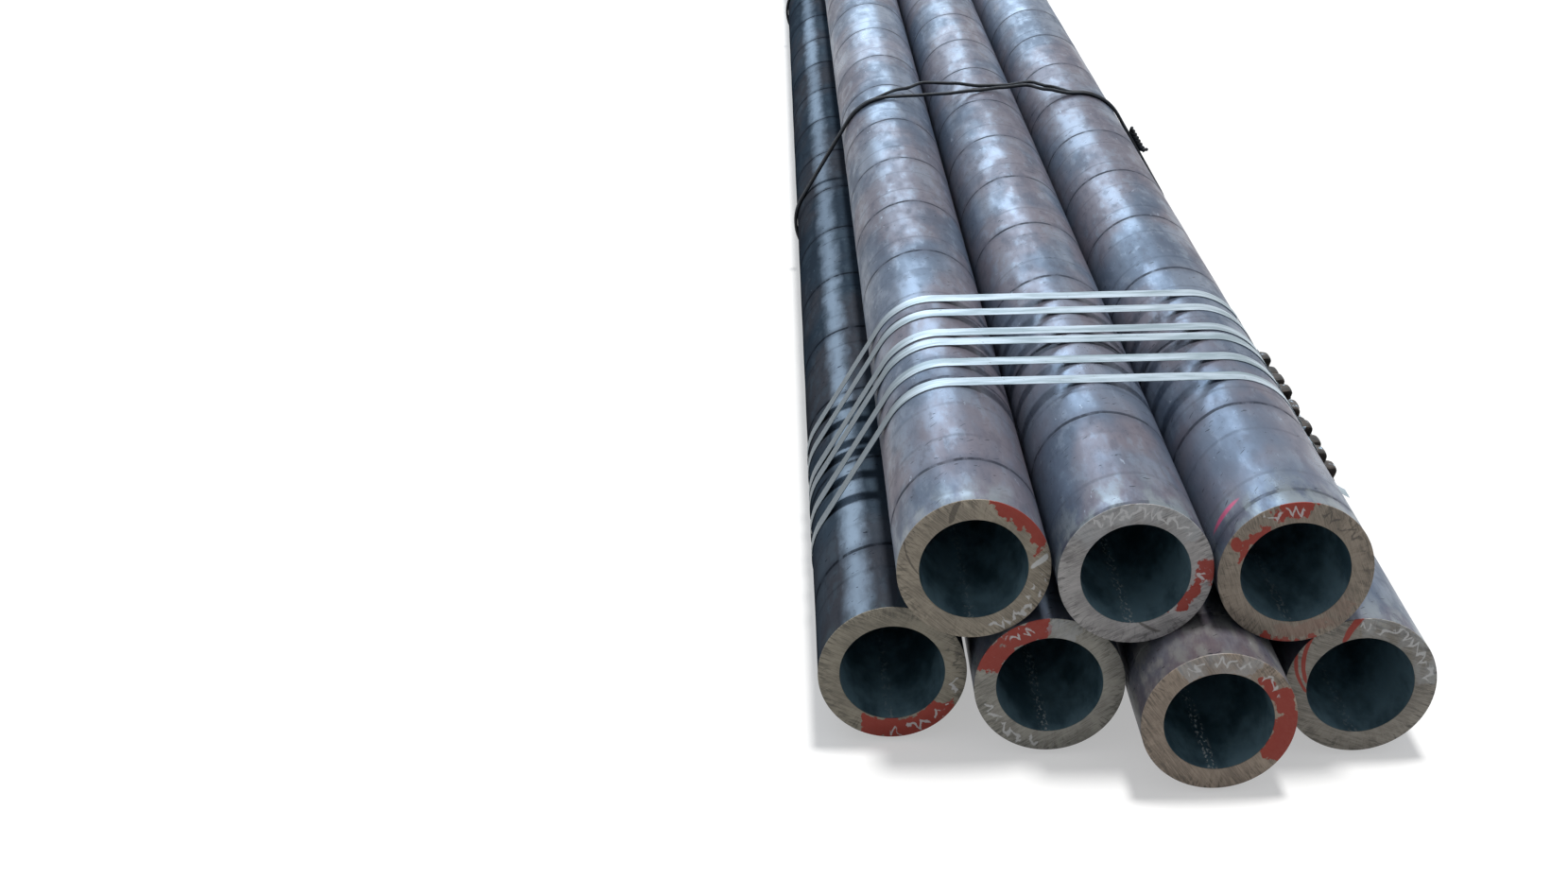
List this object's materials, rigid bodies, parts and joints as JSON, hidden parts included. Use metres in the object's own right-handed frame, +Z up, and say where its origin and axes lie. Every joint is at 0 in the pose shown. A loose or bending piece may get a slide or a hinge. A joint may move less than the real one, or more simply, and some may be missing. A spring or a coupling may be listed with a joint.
{
  "type": "bundle of steel pipes",
  "caption": "Strapped stack of thick-walled round steel pipes lying in two nested rows, held by flat crimped straps and twisted wire ties, with plain sawn open ends.",
  "frame": {"origin": "on the floor, under the middle of the bundle's bounding box", "axes": "+Y along the pipes away from the near ends, +X to the right seen from those ends, +Z up"},
  "size_m": [0.9048, 6.153, 0.4252],
  "materials": {
    "pipe_steel": "hot-rolled mill scale",
    "strap_steel": "zinc-coated strapping",
    "seal_steel": "weathered crimped sheet",
    "tie_wire": "black annealed wire rod"
  },
  "bodies": {
    "root": {"pipe_bottom_1": "pipe_steel", "pipe_bottom_2": "pipe_steel", "pipe_bottom_3": "pipe_steel", "pipe_bottom_4": "pipe_steel", "pipe_top_1": "pipe_steel", "pipe_top_2": "pipe_steel", "pipe_top_3": "pipe_steel", "strap_front_1": "strap_steel", "strap_front_2": "strap_steel", "strap_front_3": "strap_steel", "strap_front_4": "strap_steel", "strap_front_5": "strap_steel", "strap_front_6": "strap_steel", "strap_rear_1": "strap_steel", "strap_rear_2": "strap_steel", "strap_rear_3": "strap_steel", "strap_rear_4": "strap_steel", "strap_rear_5": "strap_steel", "strap_rear_6": "strap_steel", "seal_front_1": "seal_steel", "seal_front_2": "seal_steel", "seal_front_3": "seal_steel", "seal_front_4": "seal_steel", "seal_front_5": "seal_steel", "seal_front_6": "seal_steel", "seal_rear_1": "seal_steel", "seal_rear_2": "seal_steel", "seal_rear_3": "seal_steel", "seal_rear_4": "seal_steel", "seal_rear_5": "seal_steel", "seal_rear_6": "seal_steel", "wire_tie_front": "tie_wire", "wire_tie_rear": "tie_wire"}
  },
  "joints": []
}
